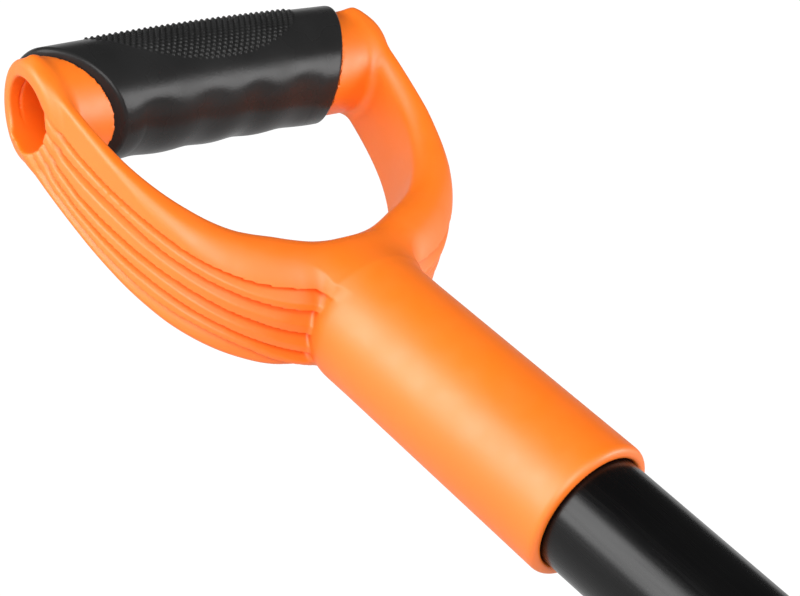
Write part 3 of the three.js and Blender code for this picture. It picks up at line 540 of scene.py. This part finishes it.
finish_piece(make("lever_pin", *nets(pin, (EAR_X - 3, BOLT_Y - 11, PIN_Z - 3), (EAR_X + 3, BOLT_Y + 11, PIN_Z + 3), .3), 40), "handle", "steel", "clamp_pin")
def lever(P):
    x, y, z = P
    dx, dz = x, z - AZ
    r = np.hypot(dx, dz); an = np.degrees(np.arctan2(dz, dx))
    an = np.where(an < -90, an + 360, an)
    w = np.abs(y - BOLT_Y) - LEVER_W / 2
    band = np.maximum(np.abs(r - (19.3 + 3.6)) - 2.0, np.maximum(50 - an, an - 158) * math.pi / 180 * r)
    band = smax(band, w, 1.6)
    cam_ = rod(P, "y", 5.8, BOLT_Y - LEVER_W / 2, BOLT_Y + LEVER_W / 2, (EAR_X, 0, PIN_Z), 1.0)
    # bridge from the cam to the handle
    poly = [(14, AZ + 15.6), (EAR_X, PIN_Z - 1.5), (EAR_X + 2, PIN_Z + 5.5), (12, AZ + 21.6)]
    d = -1e9
    for i in range(4):
        a, b = np.array(poly[i]), np.array(poly[(i + 1) % 4])
        n = np.array([b[1] - a[1], -(b[0] - a[0])]); n = n / np.linalg.norm(n)
        d = np.maximum(d, (x - a[0]) * n[0] + (z - a[1]) * n[1])
    bridge = smax(d, w, 1.4)
    o = smin(smin(band, cam_, 2.0), bridge, 1.2)
    # grip ribs on the handle's end
    for k in (118, 126, 134, 142, 150):
        px, pz = 25.6 * math.cos(math.radians(k)), AZ + 25.6 * math.sin(math.radians(k))
        o = smax(o, -np.maximum(np.hypot(x - px, z - pz) - 0.9, np.abs(y - BOLT_Y) - LEVER_W / 2 + 2.5), .4)
    o = smax(o, 20.7 - r, .3)
    o = smax(o, -box(P, EAR_X - 8.5, EAR_X + 12, BOLT_Y - 3.2, BOLT_Y + 3.2, PIN_Z - 14, PIN_Z + 14, .05), .3)
    return smax(o, -rod(P, "y", 2.4, BOLT_Y - 30, BOLT_Y + 30, (EAR_X, 0, PIN_Z), .05), .3)
finish_piece(make("cam_lever", *nets(lever, (-25, BOLT_Y - 12, AZ + 4), (EAR_X + 7, BOLT_Y + 12, AZ + 26), fine), 40), "lever", "black_plastic", "clamp_lever")

# ----------------------------------------------------- screw, button and spring
def screw(P):
    o = rod(P, "z", 4.2, 0.5, 2.3, (0, -112 + Y0, 0), .45)
    o = np.minimum(o, rod(P, "z", 2.1, 1.5, 8.5, (0, -112 + Y0, 0), .3))
    for a in ((2.6, .5), (.5, 2.6)):
        o = np.maximum(o, -box(P, -a[0], a[0], -112 + Y0 - a[1], -112 + Y0 + a[1], -1, 1.2, .1))
    return o
finish_piece(make("yoke_screw", *nets(screw, (-5, Y0 - 117, 0), (5, Y0 - 107, 9), .25), 35), "handle", "steel", "grip_screw")
top = AZ + SOCK_RO + PROUD
def button(P):
    x, y, z = P
    r = np.hypot(x, y - (BUTTON_Y + Y0))
    a = rod(P, "z", BUTTON_R, AZ + 9.8, top, (0, BUTTON_Y + Y0, 0), 1.2)
    b = rod(P, "z", 5.0, AZ + 9.7, AZ + 10.5, (0, BUTTON_Y + Y0, 0), .3)
    return np.minimum(smax(a, -(np.sqrt(r ** 2 + (z - top - 9) ** 2) - 9.5), .3), b)
finish_piece(make("snap_button", *nets(button, (-6, BUTTON_Y + Y0 - 6, AZ + 9), (6, BUTTON_Y + Y0 + 6, top + 1), .25), 35), "button", "steel", "blade_button")
def spring():
    y, z = BUTTON_Y + Y0, AZ
    mid = catmull([(y + 6, z + 9.0), (y - 18, z + 7.0), (y - 40, z + 4.8), (y - 45.2, z + 1.4), (y - 45.2, z - 2.8), (y - 40, z - 7.2), (y - 18, z - 9.0), (y + 8, z - 10.7)], 8)
    t = np.gradient(mid, axis=0); t /= np.linalg.norm(t, axis=1)[:, None]
    n = np.stack([-t[:, 1], t[:, 0]], -1) * 0.3
    V, m = [], len(mid)
    for s, x in ((1, -3.5), (1, 3.5), (-1, 3.5), (-1, -3.5)):
        q = mid + s * n
        V.append(np.stack([np.full(m, x), q[:, 0], q[:, 1]], -1))
    V = np.concatenate(V)
    F = [(a * m + i, a * m + i + 1, ((a + 1) % 4) * m + i + 1, ((a + 1) % 4) * m + i) for a in range(4) for i in range(m - 1)]
    F += [(0, m, 2 * m, 3 * m), (m - 1, 4 * m - 1, 3 * m - 1, 2 * m - 1)]
    return V, F
o = finish_piece(outward(make("leaf_spring", *spring(), 35)), LOWER, "steel", "button_spring")
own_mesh(o)

# ---------------------------------------------------------------------- socket
yA, yB, yF, zF = SOCKET_END + Y0, SOCKET_TOP + Y0, BLADE_TOP - 6 + Y0, T + GAP
RIV = [(s * 24.5, yF - 12 - i * 34) for s in (-1, 1) for i in range(3)]
def socket(P):
    x, y, z = P
    t = rod(P, "y", SOCK_RO, yA, yB, (0, 0, AZ), .7)
    fl = box(P, -31, 31, yA, yF, zF, zF + 2.6, .7)
    w = 14.5 + (AZ - 6 - z) * 0.35
    web = smax(smax(np.abs(x) - w, np.abs(z - (zF + AZ - 6) / 2) - (AZ - 6 - zF) / 2, .3), np.abs(y - (yA + yF) / 2) - (yF - yA) / 2, .8)
    o = smin(smin(fl, web, 1.6), t, 1.4)
    o = smax(o, -rod(P, "y", SOCK_RI, yA - 5, yB + 5, (0, 0, AZ), .05), .4)
    o = smax(o, -rod(P, "z", BUTTON_R + GAP, AZ + 8, AZ + 30, (0, BUTTON_Y + Y0, 0), .05), .5)
    for px, py in RIV:
        o = np.maximum(o, -(np.maximum(np.hypot(x - px, y - py) - 2.6, z - 8)))
    return o
finish_piece(make("blade_socket_piece", *nets(socket, (-31, yA, zF), (31, yB, AZ + 17), .55), 40), LOWER, "alloy", "blade_socket")
for n, (px, py) in enumerate(RIV):
    def rivet(P):
        x, y, z = P
        r = np.hypot(x - px, y - py)
        z0 = zF + 2.6 + GAP
        dome = np.maximum(np.sqrt(r ** 2 + (z - z0 + 2.9) ** 2) - 5.4, z0 - z)
        shank = rod(P, "z", 2.3, .9, z0 + .5, (px, py, 0), .25)
        return np.minimum(dome, shank)
    finish_piece(make(f"rivet_head_{n + 1}", *nets(rivet, (px - 5, py - 5, 0), (px + 5, py + 5, zF + 6), .3), 35), LOWER, "steel", f"rivet_{n + 1}")

# ----------------------------------------------------------------------- blade
def blade():
    b0, t0 = BLADE_BOTTOM + Y0, BLADE_TOP + Y0
    r, k = 16.0, math.radians(72)
    minH = r * (1 - math.cos(k)) + 0.5
    nv, nf, na, nw = ((150, 90, 20, 16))
    us = np.linspace(0, 1, nv + 1)
    rows = []
    for u in us:
        w = 117 + (104 - 117) * u
        h = max(13 + (44 - 13) * u ** 0.8, minH)
        xc = w - r * math.sin(k) - (h - r * (1 - math.cos(k))) / math.tan(k)
        half = [(xc * i / nf, 0.0) for i in range(nf + 1)]
        half += [(xc + r * math.sin(k * j / na), r * (1 - math.cos(k * j / na))) for j in range(1, na + 1)]
        xe, ze = half[-1]
        half += [(lerp(xe, w, j / nw), lerp(ze, h, j / nw)) for j in range(1, nw + 1)]
        half = np.array(half)
        rows.append(np.vstack([half[:0:-1] * (-1, 1), half]))
    R = np.array(rows)                                   # row, across, (x, z)
    tx = np.gradient(R, axis=1); tx /= np.linalg.norm(tx, axis=2)[..., None]
    N = np.stack([-tx[..., 1], tx[..., 0]], -1)          # towards the inside
    cr = 38.0
    Yg = np.zeros(R.shape[:2])
    for i, u in enumerate(us):
        ax = np.abs(R[i, :, 0])
        edge = 120.0 - cr
        rise = np.where(ax > edge, cr - np.sqrt(np.maximum(cr ** 2 - np.minimum(ax - edge, cr) ** 2, 0)), 0)
        lo = b0 + rise
        Yg[i] = lo + (t0 - lo) * u
    # two pressed ribs along the floor, raised on the inner skin only
    X = R[..., 0]
    def bead(cx, ya, yb, w, hgt):
        d = np.hypot(X - cx, np.maximum(np.maximum(ya - Yg, Yg - yb), 0))
        return hgt * (0.5 + 0.5 * np.cos(np.clip(d / w, 0, 1) * math.pi))
    yc = (b0 + t0) / 2 - 12
    lift = bead(-62, yc - 68, yc + 68, 7.5, 2.6) + bead(62, yc - 68, yc + 68, 7.5, 2.6)
    e = 0.55
    def skin(off):
        P = np.stack([R[..., 0] + N[..., 0] * off, Yg, R[..., 1] + N[..., 1] * off], -1)
        P[..., 2] += lift * (1 if off > 0.5 else 0.0)
        return P
    lo_, hi_ = skin(0.0), skin(T)
    # rounded rims
    def pull(P, s):
        Q = P.copy()
        Q[0, :, 1] += e; Q[-1, :, 1] -= e
        for c in (0, -1):
            Q[:, c, 0] -= tx[:, c, 0] * e * (-1 if c == 0 else 1); Q[:, c, 2] -= tx[:, c, 1] * e * (-1 if c == 0 else 1)
        return Q
    lo_p, hi_p = pull(lo_, 1), pull(hi_, 1)
    n0, n1 = R.shape[:2]
    V = [lo_p.reshape(-1, 3), hi_p.reshape(-1, 3)]
    idx = lambda s, i, j: s * n0 * n1 + i * n1 + j
    F = []
    I, J = np.meshgrid(np.arange(n0 - 1), np.arange(n1 - 1), indexing="ij")
    F.append(np.stack([idx(0, I, J), idx(0, I + 1, J), idx(0, I + 1, J + 1), idx(0, I, J + 1)], -1).reshape(-1, 4))
    F.append(np.stack([idx(1, I, J), idx(1, I, J + 1), idx(1, I + 1, J + 1), idx(1, I + 1, J)], -1).reshape(-1, 4))
    loop = [(0, j) for j in range(n1)] + [(i, n1 - 1) for i in range(1, n0)] + [(n0 - 1, j) for j in range(n1 - 2, -1, -1)] + [(i, 0) for i in range(n0 - 2, 0, -1)]
    base = 2 * n0 * n1
    M = (skin(T / 2 + .001))
    M[..., 2] -= lift * (1 if T / 2 + .001 > .5 else 0)
    V.append(np.array([M[i, j] for i, j in loop]))
    L = len(loop)
    for a in range(L):
        b = (a + 1) % L
        (i, j), (i2, j2) = loop[a], loop[b]
        F.append(np.array([[idx(0, i, j), idx(0, i2, j2), base + b, base + a], [base + a, base + b, idx(1, i2, j2), idx(1, i, j)]]))
    return np.concatenate(V), np.concatenate(F)
o = outward(make("blade_sheet", *blade(), 50))
finish_piece(o, LOWER, "blade_alloy", "blade")
def backwall(P):
    x, y, z = P
    ax = np.abs(x)
    t0 = BLADE_TOP + Y0
    topz = np.where(ax < 26, 17.0, np.where(ax < 43.7, lerp(17, 30, (ax - 26) / 17.7), lerp(30, 27.3, np.clip((ax - 43.7) / 59, 0, 1))))
    k72 = math.radians(72)                   # inside the sheet's rounded corner and slanted side
    xf = 104 - 16 * math.sin(k72) - (44 - 16 * (1 - math.cos(k72))) / math.tan(k72)
    line = (ax - xf - 16 * math.sin(k72)) * math.sin(k72) - (z - 16 * (1 - math.cos(k72))) * math.cos(k72)
    round_ = np.hypot(ax - xf, z - 16.0) - 16.0
    side_ = np.where(ax < xf, -z, np.where(np.arctan2(ax - xf, 16.0 - z) < k72, round_, line)) + .5
    o = smax(smax(z - topz, side_, 1.0), .6 - z, .3)
    o = smax(o, np.abs(y - (t0 - T / 2)) - T / 2, .7)
    return smax(o, -(np.hypot(x, z - AZ) - (SOCK_RO + .6)), .3)
o = make("blade_back_wall", *nets(backwall, (-104, BLADE_TOP + Y0 - 2.2, 0), (104, BLADE_TOP + Y0 + .2, 31), .6), 40)
finish_piece(o, LOWER, "blade_alloy")

# ------------------------------------------------------------- floor and light
sc = bpy.context.scene
sc.view_settings.view_transform = "Standard"
me = bpy.data.meshes.new("floor")
me.from_pydata([(-30, -30, -0.0002), (30, -30, -0.0002), (30, 30, -0.0002), (-30, 30, -0.0002)], [], [(0, 1, 2, 3)])
floor = bpy.data.objects.new("floor", me)
sc.collection.objects.link(floor)
fm, nt, b = material("floor", (0, 0, 0), 1.0)
b.inputs["Specular IOR Level"].default_value = 0.0
b.inputs["Emission Color"].default_value = (1, 1, 1, 1)
b.inputs["Emission Strength"].default_value = 1.02
lp = nt.nodes.new("ShaderNodeLightPath")
nt.links.new(ranged(nt, lp.outputs["Is Camera Ray"], 0, 1, 0.72, 1.05), b.inputs["Emission Strength"])
me.materials.append(fm)
w = bpy.data.worlds.new("world"); sc.world = w
w.use_nodes = True
w.node_tree.nodes["Background"].inputs["Color"].default_value = (1, 1, 1, 1)
lp = w.node_tree.nodes.new("ShaderNodeLightPath")
w.node_tree.links.new(ranged(w.node_tree, lp.outputs["Is Camera Ray"], 0, 1, 0.06, 1.05), w.node_tree.nodes["Background"].inputs["Strength"])
def area(name, loc, target, size, power, color=(1, 1, 1)):
    d = bpy.data.lights.new(name, "AREA")
    d.shape, d.size, d.size_y, d.energy, d.color = "RECTANGLE", size[0], size[1], power, color
    o = bpy.data.objects.new(name, d)
    sc.collection.objects.link(o)
    o.location = loc
    o.rotation_mode = "QUATERNION"
    o.rotation_quaternion = (Vector(target) - Vector(loc)).to_track_quat("-Z", "Y")
    return o
c = Vector((0, 0.34, 0.03))
area("left", c + Vector((-1.0, 0.44, 0.28)), c + Vector((0, 0, 0.02)), (1.0, 1.0), 18.5)
area("right", c + Vector((0.90, -0.82, 0.53)), c + Vector((0, 0.08, 0.02)), (0.6, 0.62), 10.5)
area("over", c + Vector((-0.75, -0.8, 0.95)), c, (1.1, 1.1), 22)
